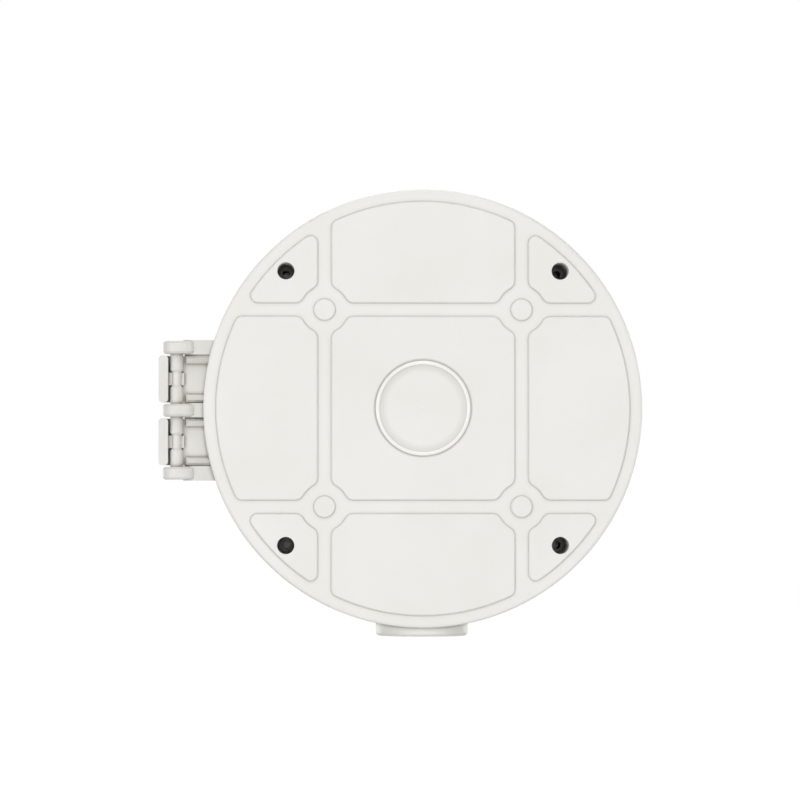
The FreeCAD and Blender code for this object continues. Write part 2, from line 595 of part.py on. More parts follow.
def add_hooks(lid):
    far_edge = "(sizes.knuckle_pitch / 2 + sizes.hook_height / 2)"
    inner_end = f"(sizes.hinge_offset - sqrt({LEDGE_RADIUS}^2 - {far_edge}^2) + {SKIRT})"
    tab_face = "(sizes.hook_tab - sizes.hook_reach)"
    seat = "(sizes.rod_radius + sizes.hook_seat_gap)"
    for number, row in enumerate(HOOK_ROWS, start=1):
        middle = f"({row} * sizes.knuckle_pitch)"
        on_axis = {
            "Base.x": "-sizes.hinge_offset",
            "Base.y": "sizes.hinge_depth",
            "Base.z": f"-{middle}",
        }
        arm = new_sketch(lid, f"hook_sketch_{number}", "XZ_Plane", on_axis)
        draw_polygon(arm, [
            ("-sizes.hook_reach", "-sizes.hook_tab_end"),
            (tab_face, "-sizes.hook_tab_end"),
            (tab_face, "sizes.hook_floor"),
            (inner_end, "sizes.hook_floor"),
            (inner_end, "sizes.hook_reach"),
            ("-sizes.hook_reach", "sizes.hook_reach"),
        ])
        extrude(lid, "Pad", f"hook_{number}", arm, "sizes.hook_height", both_ways=True)
        outside = -value("hinge_offset") - value("hook_reach")
        back = value("hinge_depth") + value("hook_reach")
        tab_inside = outside + value("hook_tab")
        ends = [row * value("knuckle_pitch") + side * value("hook_height") / 2 for side in (-1, 1)]
        soften(lid, "Fillet", f"hook_back_{number}", "sizes.hook_reach",
               lambda edge: lies_at(edge, x=outside, z=back))
        soften(lid, "Fillet", f"hook_outline_{number}", "sizes.hook_round",
               lambda edge: any(lies_at(edge, x=outside, y=end) or lies_at(edge, x=tab_inside, y=end)
                                for end in ends))
        clearing = new_sketch(lid, f"hook_seat_sketch_{number}", "XZ_Plane", on_axis)
        draw_circle(clearing, "0", "0", seat)
        extrude(lid, "Pocket", f"hook_seat_{number}", clearing, "sizes.hook_height", both_ways=True)
        slot = new_sketch(lid, f"tab_slot_sketch_{number}", "XZ_Plane", on_axis)
        draw_rectangle(slot, tab_face, f"{tab_face} + sizes.slot_width", "0", "sizes.slot_depth")
        extrude(lid, "Pocket", f"tab_slot_{number}", slot, "sizes.hook_height", both_ways=True)
        for side in (-1, 1):
            edge = f"({middle} + {side} * (sizes.hook_height - sizes.rail_width) / 2)"
            shift = dict(on_axis)
            shift["Base.z"] = f"-{edge}"
            rail = new_sketch(lid, f"rail_sketch_{number}_{side + 2}", "XZ_Plane", shift)
            rail_end = f"(sizes.hinge_offset - sqrt({LEDGE_RADIUS}^2 - {edge}^2) + {SKIRT} / 2)"
            draw_rectangle(rail, "sizes.rail_start", rail_end, "sizes.hook_floor - sizes.rail_rise",
                           "sizes.hook_reach / 2 + sizes.hook_floor / 2")
            extrude(lid, "Pad", f"rail_{number}_{side + 2}", rail, "sizes.rail_width", both_ways=True)
        rail_face = value("hinge_depth") + value("hook_floor") - value("rail_rise")
        rail_left = value("rail_start") - value("hinge_offset")

        def on_rail(edge):
            along = isinstance(edge.Curve, Part.Line) and edge.BoundBox.YLength < SAME
            in_row = edge.BoundBox.YMin > min(ends) - SAME and edge.BoundBox.YMax < max(ends) + SAME
            return in_row and lies_at(edge, z=rail_face) and (along or lies_at(edge, x=rail_left))

        soften(lid, "Chamfer", f"rail_edges_{number}", "sizes.rail_edge", on_rail)
        rib = new_sketch(lid, f"rib_sketch_{number}", "XZ_Plane", on_axis)
        draw_polygon(rib, [
            (f"{tab_face} - sizes.hook_tab / 2", "-sizes.rib_end"),
            ("0", "-sizes.rib_end"),
            ("0", "sizes.rib_low_side"),
            (seat, "sizes.rib_low_side"),
            (seat, "sizes.slot_depth"),
            (f"{tab_face} - sizes.hook_tab / 2", "sizes.slot_depth"),
        ])
        extrude(lid, "Pad", f"rib_{number}", rib, "sizes.rib_length", both_ways=True)
        bore = new_sketch(lid, f"rib_bore_sketch_{number}", "XZ_Plane", on_axis)
        draw_circle(bore, "0", "0", "sizes.waist_radius + sizes.waist_gap")
        extrude(lid, "Pocket", f"rib_bore_{number}", bore, "sizes.rib_length", both_ways=True)


# Lid: leaf that backs both hooks, then the gasket channel cut clear of hooks and leaf


def add_leaf(lid):
    half = "(sizes.knuckle_pitch + sizes.lug_width / 2)"
    inner_end = f"(sizes.hinge_offset - sqrt({LEDGE_RADIUS}^2 - {half}^2) + {SKIRT} / 2)"
    on_axis = {"Base.x": "-sizes.hinge_offset", "Base.y": "sizes.hinge_depth"}
    leaf = new_sketch(lid, "leaf_sketch", "XZ_Plane", on_axis)
    draw_rectangle(leaf, "sizes.leaf_start", inner_end, "sizes.knuckle_radius + sizes.leaf_gap",
                   "sizes.hook_reach")
    extrude(lid, "Pad", "leaf", leaf, f"2 * {half}", both_ways=True)


def clear_channel(lid):
    channel = new_sketch(lid, "channel_profile", "XZ_Plane")
    draw_rectangle(channel, CHANNEL_INNER, CHANNEL_OUTER, "sizes.base_depth - sizes.tongue_rise",
                   CHANNEL_TOP)
    turn(lid, "Groove", "channel", channel)


def make_lid():
    lid = new_body("lid")
    add_lid_shell(lid)
    add_lid_bosses(lid)
    add_hooks(lid)
    add_leaf(lid)
    clear_channel(lid)
    return lid


# Soft seals: gasket in the lid's channel and grommet round the camera's cable


def make_gasket():
    gasket = new_body("lid_gasket")
    profile = new_sketch(gasket, "gasket_profile", "XZ_Plane")
    inner = f"{CHANNEL_INNER} + sizes.tongue_gap / 2"
    outer = f"{CHANNEL_OUTER} - sizes.tongue_gap / 2"
    draw_rectangle(profile, inner, outer, TONGUE_TOP, CHANNEL_TOP)
    turn(gasket, "Revolution", "gasket_ring", profile)
    return gasket


def make_grommet():
    grommet = new_body("cable_grommet")
    neck = "(sizes.cable_hole_radius - sizes.grommet_gap)"
    flange = "(sizes.cable_hole_radius + sizes.grommet_lip)"
    front = "(sizes.overall_depth + sizes.grommet_front)"
    back = f"({LID_INSIDE} - sizes.grommet_back)"
    profile = new_sketch(grommet, "grommet_profile", "XZ_Plane")
    draw_polygon(profile, [
        ("sizes.grommet_bore_radius", back),
        (flange, back),
        (flange, LID_INSIDE),
        (neck, LID_INSIDE),
        (neck, "sizes.overall_depth"),
        (flange, "sizes.overall_depth"),
        (flange, front),
        ("sizes.grommet_bore_radius", front),
    ])
    turn(grommet, "Revolution", "grommet_turned", profile)
    return grommet


# Metal pieces: six-sided brass inserts for the camera's screws, and the lid screws


def make_insert(label, place):
    """Threaded insert; its front end lies at its place."""
    insert = new_body(label, place)
    outline = new_sketch(insert, f"{label}_sketch")
    draw_hexagon(outline, "0", "0", "sizes.camera_insert_radius")
    draw_circle(outline, "0", "0", "sizes.camera_insert_bore")
    extrude(insert, "Pad", f"{label}_pad", outline, "sizes.camera_insert_length", backwards=True)
    return insert


def make_screw(label, place):
    """Pan-head screw with a cross recess; the top of its head lies at its place, its shank runs back."""
    tip = f"-(sizes.overall_depth - sizes.screw_sink - {BOSS_TOP} - sizes.screw_clear)"
    screw = new_body(label, place)
    profile = new_sketch(screw, f"{label}_profile", "XZ_Plane")
    draw_polygon(profile, [
        ("0", "0"),
        ("sizes.screw_head_radius - sizes.screw_head_edge", "0"),
        ("sizes.screw_head_radius", "-sizes.screw_head_edge"),
        ("sizes.screw_head_radius", "-sizes.screw_head_height"),
        ("sizes.screw_radius", "-sizes.screw_head_height"),
        ("sizes.screw_radius", tip),
        ("0", tip),
    ])
    turn(screw, "Revolution", f"{label}_turned", profile)
    half_span = "sizes.recess_span / 2"
    half_width = "sizes.recess_width / 2"
    for name, across, up in (("across", half_span, half_width), ("down", half_width, half_span)):
        arm = new_sketch(screw, f"{label}_recess_{name}_sketch")
        draw_rectangle(arm, f"-{across}", across, f"-{up}", up)
        extrude(screw, "Pocket", f"{label}_recess_{name}", arm, "sizes.recess_depth")
    return screw


def make_fasteners():
    pieces = []
    for corner, (side, drop) in CORNERS.items():
        place = (
            f"{side} * sizes.boss_offset",
            f"{drop} * sizes.boss_offset",
            "sizes.overall_depth - sizes.screw_sink",
        )
        pieces.append(make_screw(f"lid_screw_{corner}", place))
    for quarter, (side, drop) in QUARTERS.items():
        place = (
            f"{side} * sizes.camera_circle_radius",
            f"{drop} * sizes.camera_circle_radius",
            "sizes.overall_depth - sizes.camera_insert_sink",
        )
        pieces.append(make_insert(f"camera_insert_{quarter}", place))
    return pieces


pieces = [make_base(), make_lid(), make_gasket(), make_grommet()] + make_fasteners()
doc.recompute()

for item in doc.Objects:
    if "Invalid" in item.State or "Error" in item.State:
        raise RuntimeError(f"{item.Name} failed: {item.getStatusString()}")
for piece in pieces:
    if piece.Shape.isNull() or not piece.Shape.isValid() or len(piece.Shape.Solids) != 1:
        raise RuntimeError(f"{piece.Label} is not one valid solid")

os.makedirs("parts", exist_ok=True)
for piece in pieces:
    piece.Shape.exportStep(f"parts/{piece.Label}.step")
    print(piece.Label, round(piece.Shape.Volume, 1))
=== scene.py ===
# %% [markdown]
# A camera junction box, seen from its wall side
#
# The box is a round moulding that screws to a wall and carries a camera on its hinged lid. Its
# shape comes ready made: every solid piece is loaded once, at its real size, and stays where it
# is. This script gives those pieces their finish, adds the few forms that are too fine for the
# solids, and sets up a small white studio.

# %% Load the frame
import bmesh
import bpy
import json
import math
from mathutils import Matrix, Vector


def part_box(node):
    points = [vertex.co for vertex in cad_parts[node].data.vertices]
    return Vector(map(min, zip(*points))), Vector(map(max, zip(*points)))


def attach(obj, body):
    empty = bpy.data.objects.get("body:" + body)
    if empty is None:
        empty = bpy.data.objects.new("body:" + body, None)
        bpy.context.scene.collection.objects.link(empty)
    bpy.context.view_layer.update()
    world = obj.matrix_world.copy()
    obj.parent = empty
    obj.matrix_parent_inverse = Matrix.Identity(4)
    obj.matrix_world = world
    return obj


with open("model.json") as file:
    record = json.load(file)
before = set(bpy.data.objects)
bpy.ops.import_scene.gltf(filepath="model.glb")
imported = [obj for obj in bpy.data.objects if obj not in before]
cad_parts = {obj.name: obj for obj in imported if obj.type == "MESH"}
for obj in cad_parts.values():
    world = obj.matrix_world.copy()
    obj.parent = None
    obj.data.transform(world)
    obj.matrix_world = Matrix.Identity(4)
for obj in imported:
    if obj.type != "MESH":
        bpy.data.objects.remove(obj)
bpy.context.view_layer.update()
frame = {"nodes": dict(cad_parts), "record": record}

# %% [markdown]
# What is added later may not make the box any bigger.

# %% [markdown]
# Units and colours
#
# Blender counts in metres, while a mould maker thinks in millimetres, so one name turns the one
# into the other. Colours are written as the hex values that a paint card gives. Those are sRGB
# values, and a shader works on linear light, so each goes through one function first.

# %% Millimetres and colours
MM = 0.001


def linear(hex_colour):
    """Turn an sRGB hex colour into the linear red, green, blue and alpha that a shader takes."""
    channels = [int(hex_colour[start:start + 2], 16) / 255 for start in (1, 3, 5)]
    lit = [c / 12.92 if c <= 0.04045 else ((c + 0.055) / 1.055) ** 2.4 for c in channels]
    return (*lit, 1.0)


print("a middle grey, #808080, is", round(linear("#808080")[0], 3), "in linear light")

# %% [markdown]
# One helper for every node
#
# A material is a small network of nodes. It could be wired by hand, link by link, which takes
# many lines that say little. One function that adds a node, sets its values and joins its inputs
# keeps each material short enough to read as a recipe.

# %% Add a node


def add_node(tree, kind, inputs=None, **settings):
    """Add a node of a kind; inputs maps sockets to values or to the output sockets feeding them."""
    node = tree.nodes.new(kind)
    for name, setting in settings.items():
        setattr(node, name, setting)
    for name, source in (inputs or {}).items():
        if isinstance(source, bpy.types.NodeSocket):
            tree.links.new(source, node.inputs[name])
        else:
            node.inputs[name].default_value = source
    return node


def new_material(name):
    """Start an empty material and return it with its node tree and its principled shader."""
    material = bpy.data.materials.new(name)
    material.use_nodes = True
    tree = material.node_tree
    tree.nodes.clear()
    shader = add_node(tree, "ShaderNodeBsdfPrincipled")
    add_node(tree, "ShaderNodeOutputMaterial", {"Surface": shader.outputs["BSDF"]})
    return material, tree, shader


# %% [markdown]
# Bands round the middle
#
# The crest of the knock-out ring is the one polished place of the box, because the mould's insert
# is turned there and not eroded, so it is less rough; its white is also painted lighter there, a
# painted highlight. The hollow inside the ring is painted a little darker, a painted shade. Each
# could be a material of its own on faces picked by hand. A mask is simpler: the distance to the
# axis of the box tells how far a point is from a circle, so a band needs no picture and no second
# material.

# %% Ring mask
WALL_SIDE = 1.2 * MM        # the bands end this deep behind the wall face
# The crest band is smoother, and its white is painted lighter: a painted highlight.
CREST = {"circle": 15.6 * MM, "half": 0.5 * MM, "fade": 0.25 * MM, "most": 1.0}
# The hollow band is painted darker: painted shade.
HOLLOW_PAINTED_SHADE = {"circle": 14.4 * MM, "half": 0.3 * MM, "fade": 2.0 * MM, "most": 0.24}


def ring_mask(tree, place, circle, half, fade, most):
    """Mark a ring about the axis of the box, on the wall side only, that fades on both sides."""
    flat = add_node(tree, "ShaderNodeVectorMath", {0: place, 1: (1, 0, 1)}, operation="MULTIPLY")
    radius = add_node(tree, "ShaderNodeVectorMath", {0: flat.outputs["Vector"]},
                      operation="LENGTH")
    off = add_node(tree, "ShaderNodeMath", {0: radius.outputs["Value"], 1: circle},
                   operation="SUBTRACT")
    away = add_node(tree, "ShaderNodeMath", {0: off.outputs[0]}, operation="ABSOLUTE")
    band = add_node(tree, "ShaderNodeMapRange", {
        "Value": away.outputs[0], "From Min": half, "From Max": half + fade,
        "To Min": most, "To Max": 0.0})
    depth = add_node(tree, "ShaderNodeSeparateXYZ", {"Vector": place})
    near = add_node(tree, "ShaderNodeMath", {0: depth.outputs["Y"], 1: WALL_SIDE},
                    operation="LESS_THAN")
    both = add_node(tree, "ShaderNodeMath", {0: band.outputs["Result"], 1: near.outputs[0]},
                    operation="MULTIPLY")
    return both.outputs[0]


# %% [markdown]
# White moulded plastic
#
# The base and the lid are injection moulded from white ASA, the plastic of outdoor housings. The
# mould's face is spark-eroded to a very fine grain, so the skin is satin: no sharp reflections, a
# broad soft sheen. The white is slightly warm, and it is never quite even, because the melt cools
# at different speeds: a noise of about 30 mm shifts its colour by a hair. The real grain is too
# fine to show, so a second noise draws it on the bump ten times as coarse, at 0.4 mm.
#
# No moulded edge is truly sharp. The solids have plain slopes there, so a bevel node bends the
# surface normal near each edge, and the light then runs round it as round the real one. Hardly any
# light gets out of narrow inside corners: an ambient occlusion node finds them and tints them grey,
# which is painted shade.

# %% White ASA, eroded mould finish
EDGE_ROUND = 0.15 * MM
CREASE_REACH = 1.6 * MM     # how near a wall has to be to count as an inside corner
CREASE_FULL_SHADE = 0.5          # share of open sky at which a corner is grey all over
CREASE_NO_SHADE = 0.93         # share of open sky above which nothing is grey
FLOW_SIZE = 30 * MM
FLOW_LOW, FLOW_HIGH = 0.35, 0.65    # noise values at which the dark and the light white are pure
GRAIN_SIZE = 0.4 * MM
GRAIN_HEIGHT = 0.01 * MM
GRAIN_STRENGTH = 0.25
SATIN_LEAST, SATIN_MOST = 0.42, 0.5
POLISHED = 0.25
WHITE_DARK, WHITE_LIGHT = "#E9E8E3", "#ECEBE7"
# The lighter white painted on the crest is a painted highlight.
WHITE_PAINTED_HIGHLIGHT = "#F7F6F2"
# Painted shade: the grey painted into inside corners and into the ring's hollow.
PAINTED_SHADE_GREY = "#B0AAA3"


def make_white_plastic():
    material, tree, shader = new_material("white ASA, eroded mould finish")
    place = add_node(tree, "ShaderNodeTexCoord").outputs["Object"]
    crest = ring_mask(tree, place, **CREST)
    hollow_shade_mask = ring_mask(tree, place, **HOLLOW_PAINTED_SHADE)
    flow = add_node(tree, "ShaderNodeTexNoise", {"Vector": place, "Scale": 1 / FLOW_SIZE,
                                                 "Detail": 3.0})
    tint = add_node(tree, "ShaderNodeValToRGB", {"Fac": flow.outputs["Fac"]})
    tint.color_ramp.elements[0].position = FLOW_LOW
    tint.color_ramp.elements[0].color = linear(WHITE_DARK)
    tint.color_ramp.elements[1].position = FLOW_HIGH
    tint.color_ramp.elements[1].color = linear(WHITE_LIGHT)
    grain = add_node(tree, "ShaderNodeTexNoise", {"Vector": place, "Scale": 1 / GRAIN_SIZE,
                                                  "Detail": 2.0})
    skin = add_node(tree, "ShaderNodeMapRange", {"Value": flow.outputs["Fac"],
                                                 "To Min": SATIN_LEAST, "To Max": SATIN_MOST})
    polish = add_node(tree, "ShaderNodeMix", {0: crest, 2: skin.outputs["Result"], 3: POLISHED})
    # Painted shade: where ambient occlusion finds an inside corner, the white is mixed towards
    # grey.
    open_sky = add_node(tree, "ShaderNodeAmbientOcclusion", {"Distance": CREASE_REACH}, samples=8,
                        only_local=True)
    painted_crease_shade = add_node(tree, "ShaderNodeMapRange", {
        "Value": open_sky.outputs["AO"], "From Min": CREASE_FULL_SHADE, "From Max": CREASE_NO_SHADE,
        "To Min": 1.0, "To Max": 0.0})
    # Painted shade: the hollow band is mixed towards the shade grey.
    with_hollow_shade = add_node(tree, "ShaderNodeMix", {0: hollow_shade_mask, 6: tint.outputs["Color"], 7: linear(PAINTED_SHADE_GREY)},
                     data_type="RGBA")
    # Painted highlight: the crest band is mixed towards a lighter white.
    lit = add_node(tree, "ShaderNodeMix", {0: crest, 6: with_hollow_shade.outputs[2],
                                           7: linear(WHITE_PAINTED_HIGHLIGHT)}, data_type="RGBA")
    # Painted shade in the inside corners.
    shade = add_node(tree, "ShaderNodeMix", {0: painted_crease_shade.outputs["Result"], 6: lit.outputs[2],
                                             7: linear(PAINTED_SHADE_GREY)}, data_type="RGBA")
    edges = add_node(tree, "ShaderNodeBevel", {"Radius": EDGE_ROUND}, samples=6)
    relief = add_node(tree, "ShaderNodeBump", {
        "Height": grain.outputs["Fac"], "Distance": GRAIN_HEIGHT, "Strength": GRAIN_STRENGTH,
        "Normal": edges.outputs["Normal"]})
    tree.links.new(shade.outputs[2], shader.inputs["Base Color"])
    tree.links.new(polish.outputs[0], shader.inputs["Roughness"])
    tree.links.new(relief.outputs["Normal"], shader.inputs["Normal"])
    shader.inputs["IOR"].default_value = 1.5
    return material


white_plastic = make_white_plastic()
print(white_plastic.name, "has", len(white_plastic.node_tree.nodes), "nodes")

# %% [markdown]
# Rubber
#
# The gasket is extruded EPDM, dark and dull. The grommet is moulded thermoplastic rubber in light
# grey, which matches the box. Both are soft, with a dry, slightly dusty surface, so they are
# rough, and one noise of a millimetre or two gives both the speckle of the dust and its relief.

# %% Rubber
DUST_HEIGHT = 0.02 * MM


def make_rubber(name, light, dark, speckle):
    material, tree, shader = new_material(name)
    place = add_node(tree, "ShaderNodeTexCoord").outputs["Object"]
    dust = add_node(tree, "ShaderNodeTexNoise", {"Vector": place, "Scale": 1 / speckle,
                                                 "Detail": 4.0})
    tint = add_node(tree, "ShaderNodeValToRGB", {"Fac": dust.outputs["Fac"]})
    tint.color_ramp.elements[0].color = linear(dark)
    tint.color_ramp.elements[1].color = linear(light)
    relief = add_node(tree, "ShaderNodeBump", {"Height": dust.outputs["Fac"],
                                               "Distance": DUST_HEIGHT})
    tree.links.new(tint.outputs["Color"], shader.inputs["Base Color"])
    tree.links.new(relief.outputs["Normal"], shader.inputs["Normal"])
    shader.inputs["Roughness"].default_value = 0.75
    shader.inputs["IOR"].default_value = 1.52
    print("made", name)
    return material


gasket_rubber = make_rubber("EPDM rubber, extruded", "#4A4A4C", "#3A3A3C", 1.5 * MM)
grommet_rubber = make_rubber("thermoplastic rubber, moulded", "#D2D1CC", "#C8C7C2", 2 * MM)

# %% [markdown]
# Zinc-plated steel and brass
#
# The screws are bright zinc-plated steel, a pale metal that barrel plating leaves slightly
# uneven. The inserts are cut from six-sided bars of brass. On both, the reflections do the work;
# the colour only tints them, and a noise of 0.3 mm makes them a little sharper here and a little
# duller there.

# %% Metals
METAL_GRAIN = 0.3 * MM
METAL_UNEVEN = 0.06         # the roughness varies by this much both ways


def make_metal(name, light, dark, roughness):
    material, tree, shader = new_material(name)
    place = add_node(tree, "ShaderNodeTexCoord").outputs["Object"]
    scratches = add_node(tree, "ShaderNodeTexNoise", {"Vector": place, "Scale": 1 / METAL_GRAIN,
                                                      "Detail": 5.0})
    tint = add_node(tree, "ShaderNodeValToRGB", {"Fac": scratches.outputs["Fac"]})
    tint.color_ramp.elements[0].color = linear(dark)
    tint.color_ramp.elements[1].color = linear(light)
    rub = add_node(tree, "ShaderNodeMapRange", {
        "Value": scratches.outputs["Fac"], "To Min": roughness - METAL_UNEVEN,
        "To Max": roughness + METAL_UNEVEN})
    tree.links.new(tint.outputs["Color"], shader.inputs["Base Color"])
    tree.links.new(rub.outputs["Result"], shader.inputs["Roughness"])
    shader.inputs["Metallic"].default_value = 1.0
    print("made", name)
    return material


zinc_steel = make_metal("bright zinc-plated steel", "#D4D6D8", "#B4B7BA", 0.28)
brass = make_metal("free-cutting brass, drawn and turned", "#D8B469", "#B9924A", 0.33)

# %% [markdown]
# Which piece gets which finish
#
# Screws and inserts come in fours that differ only in the end of their names. So a finish is
# looked up by the start of the name, and the longest start that fits wins, which keeps the lid's
# screws from getting the lid's plastic.

# %% Give each piece its finish
FINISHES = {
    "base": white_plastic,
    "lid": white_plastic,
    "lid_gasket": gasket_rubber,
    "cable_grommet": grommet_rubber,
    "lid_screw": zinc_steel,
    "camera_insert": brass,
}


def finish_for(node):
    """Pick the finish with the longest name that the node's name starts with."""
    return FINISHES[max((start for start in FINISHES if node.startswith(start)), key=len)]


for node in frame["nodes"]:
    body = bpy.data.objects[node]
    body.data.materials.clear()
    body.data.materials.append(finish_for(node))
print("finished", len(frame["nodes"]), "solid pieces")

# %% [markdown]
# From a bmesh to a piece
#
# A new form is built as a bmesh, Blender's workbench for loose vertices, edges and faces. Its
# object stays at the origin and the form is placed in the mesh itself, as the solids are. The
# piece then rides on the body that carries it, so it moves with the lid or stays with the base.
# Faces meet at a soft angle on a round and at a hard one on an edge, and only the hard ones are
# marked sharp.

# %% Finish a piece
SHARP = math.radians(35)


def finish_piece(name, shape, material, body):
    """Turn a bmesh into a piece that rides on a body."""
    bmesh.ops.recalc_face_normals(shape, faces=shape.faces)
    for face in shape.faces:
        face.smooth = True
    for edge in shape.edges:
        edge.smooth = edge.calc_face_angle(0) < SHARP
    mesh = bpy.data.meshes.new(name)
    shape.to_mesh(mesh)
    shape.free()
    mesh.materials.append(material)
    piece = bpy.data.objects.new(name, mesh)
    bpy.context.scene.collection.objects.link(piece)
    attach(piece, body)
    print(name, len(mesh.polygons), "faces")


# %% [markdown]
# Threads
#
# A screw thread is one ridge wound round an axis. An array of rings looks like it from afar, but
# its turns never climb. Spin can climb: given a small step along the axis for each turn of the
# profile, it draws the true helix. The ridge starts as one face across it, and spin leaves a
# closed body. At both ends the ridge fades out, because the lead-in cone that guides the mating
# thread is cut through it.

# %% Wind a thread
STEPS_A_TURN = 48
ROOT_SHARE = 0.42           # half the ridge's foot, as a share of the pitch
CREST_SHARE = 0.1           # half the ridge's crest, as a share of the pitch
LEAST_RIDGE = 0.04          # share of the ridge's height that is left at its very ends


def wind_thread(start, axis, root, crest, pitch, length):
    """Wind a ridge from a root to a crest radius; it starts at a point and runs along an axis."""
    shape = bmesh.new()
    across = axis.orthogonal().normalized()
    profile = [(root, -ROOT_SHARE), (crest, -CREST_SHARE), (crest, CREST_SHARE),
               (root, ROOT_SHARE)]
    first = start + axis * (pitch * ROOT_SHARE)
    corners = [shape.verts.new(first + across * out + axis * (pitch * along))
               for out, along in profile]
    face = shape.faces.new(corners)
    turns = length / pitch - 2 * ROOT_SHARE
    bmesh.ops.spin(shape, geom=[face, *face.edges, *face.verts], cent=start, axis=axis,
                   dvec=axis * (pitch / STEPS_A_TURN), angle=math.tau * turns,
                   steps=round(turns * STEPS_A_TURN))
    for vert in shape.verts:
        offset = vert.co - start
        along = offset.dot(axis)
        outwards = offset - axis * along
        from_end = min(along, length - along) - pitch * (ROOT_SHARE - CREST_SHARE)
        share = min(max(from_end / abs(crest - root), LEAST_RIDGE), 1.0)
        radius = root + (outwards.length - root) * share
        vert.co = start + axis * along + outwards.normalized() * radius
    return shape


# %% [markdown]
# Pipe thread in the conduit entry
#
# The boss takes a threaded conduit adapter. The solid's bore lies at the root of its thread,
# 26.44 mm across, and the ridge stands 1.16 mm inwards from there, with fourteen turns to the
# inch. Its foot lies 0.02 mm inside the plastic, so no gap shows. It is moulded with the base, in
# one plastic.

# %% Conduit thread
entry = next(mount for mount in frame["record"]["mounts"] if mount["name"] == "conduit_entry")
PIPE_PITCH = 25.4 / 14 * MM
PIPE_ROOT = 13.24 * MM
PIPE_CREST = 12.06 * MM
PIPE_LENGTH = 13.6 * MM
PIPE_MOUTH = -77.1 * MM

pipe_start = Vector((0, entry["pos_m"][1], PIPE_MOUTH))
pipe_shape = wind_thread(pipe_start, Vector((0, 0, 1)), PIPE_ROOT, PIPE_CREST, PIPE_PITCH,
                         PIPE_LENGTH)
finish_piece("conduit_thread", pipe_shape, white_plastic, "base_body")

# %% [markdown]
# Marks of the ejector pins
#
# The pins that push a moulding off its core leave round marks on the side that nobody sees, here
# on the inside of the back plate and of the lid's front. A mark is a disc about a tenth of a
# millimetre high. Each is a circle pushed up by an extrusion, with a fine bevel on its rim, and
# one mesh holds all the marks of a moulding.

# %% Press marks
MARK_RADIUS = 3.0 * MM
MARK_RISE = 0.12 * MM
MARK_BEVEL = 0.05 * MM
MARK_SEAT = 0.05 * MM       # a mark starts this far inside the plastic
MARK_POINTS = 32


def press_marks(level, rise, places):
    """Raise a round mark from a level at each x, z place; rise is along y and has a sign."""
    shape = bmesh.new()
    for across, up in places:
        seat = Matrix.Translation((across, level, up)) @ Matrix.Rotation(math.pi / 2, 4, "X")
        made = bmesh.ops.create_circle(shape, cap_ends=True, segments=MARK_POINTS,
                                       radius=MARK_RADIUS, matrix=seat)["verts"]
        disc = next(face for face in made[0].link_faces)
        raised = bmesh.ops.extrude_face_region(shape, geom=[disc], use_keep_orig=True)["geom"]
        tops = [item for item in raised if isinstance(item, bmesh.types.BMVert)]
        rims = [item for item in raised if isinstance(item, bmesh.types.BMEdge)]
        bmesh.ops.translate(shape, verts=tops, vec=(0, rise, 0))
        bmesh.ops.bevel(shape, geom=rims, offset=MARK_BEVEL, affect="EDGES", segments=2,
                        profile=0.5, material=-1)
    return shape


# %% Ejector marks
BASE_FLOOR = 3.2 * MM
LID_CEILING = 47.4 * MM
BASE_COLUMNS = (-50 * MM, -17 * MM, 17 * MM, 50 * MM)
LID_COLUMNS = (-24 * MM, 24 * MM)
MARK_ROWS = (-24 * MM, 24 * MM)

base_places = [(x, z) for x in BASE_COLUMNS for z in MARK_ROWS]
lid_places = [(x, z) for x in LID_COLUMNS for z in MARK_ROWS]
base_marks = press_marks(BASE_FLOOR - MARK_SEAT, MARK_SEAT + MARK_RISE, base_places)
finish_piece("base_ejector_marks", base_marks, white_plastic, "base_body")
lid_marks = press_marks(LID_CEILING + MARK_SEAT, -MARK_SEAT - MARK_RISE, lid_places)
finish_piece("lid_ejector_marks", lid_marks, white_plastic, "lid_body")

# %% [markdown]
# Threads on the lid screws
#
# The lid screws cut their own thread in the plastic of the base, so their ridge is sharp and
# widely spaced. It stays inside the clearance hole of the lid, 3.4 mm wide, and shows where a
# backed-out screw stands proud of it.

# %% Screw threads
SCREW_ROOT = 1.48 * MM
SCREW_CREST = 1.66 * MM
SCREW_PITCH = 1.0 * MM
SCREW_THREADED = 9.0 * MM

for node in frame["nodes"]:
    if node.startswith("lid_screw"):
        screw_low, screw_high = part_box(node)
        middle = (Vector(screw_low) + Vector(screw_high)) / 2
        tip = Vector((middle.x, screw_low[1], middle.z))
        screw_shape = wind_thread(tip, Vector((0, 1, 0)), SCREW_ROOT, SCREW_CREST, SCREW_PITCH,
                                  SCREW_THREADED)
        finish_piece(f"{node}_thread", screw_shape, zinc_steel, "lid_body")

# %% [markdown]
# Sealing beads on the grommet
#
# A camera's foot presses on the grommet from the front. Two low beads moulded round the bore give
# that joint its pressure. A bead is half a circle turned about the axis: spun as a whole circle,
# its lower half lies in the rubber, which leaves no gap under it.

# %% Grommet beads
BEAD_RADIUS = 0.45 * MM
BEAD_CIRCLES = (6.4 * MM, 10.2 * MM)
BEAD_POINTS = 12
BEAD_STEPS = 72

grommet_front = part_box("cable_grommet")[1][1]
beads = bmesh.new()
for circle in BEAD_CIRCLES:
    made = bmesh.ops.create_circle(beads, segments=BEAD_POINTS, radius=BEAD_RADIUS)["verts"]
    bmesh.ops.translate(beads, verts=made, vec=(circle, grommet_front, 0))
    rim = {edge for vert in made for edge in vert.link_edges}
    bmesh.ops.spin(beads, geom=[*made, *rim], cent=(0, 0, 0), axis=(0, 1, 0), angle=math.tau,
                   steps=BEAD_STEPS, use_merge=True)
finish_piece("grommet_beads", beads, grommet_rubber, "lid_body")

# %% [markdown]
# A white room
#
# The picture is a product shot: the box on pure white. What the camera sees behind the box is
# made white by the kind of ray, not by more light, so the box keeps its own tone. Mirrored rays
# see half of that white, which keeps the sheen of the plastic soft.

# %% World
ROOM_LIGHT = 0.3
MIRRORED_WHITE = 0.5


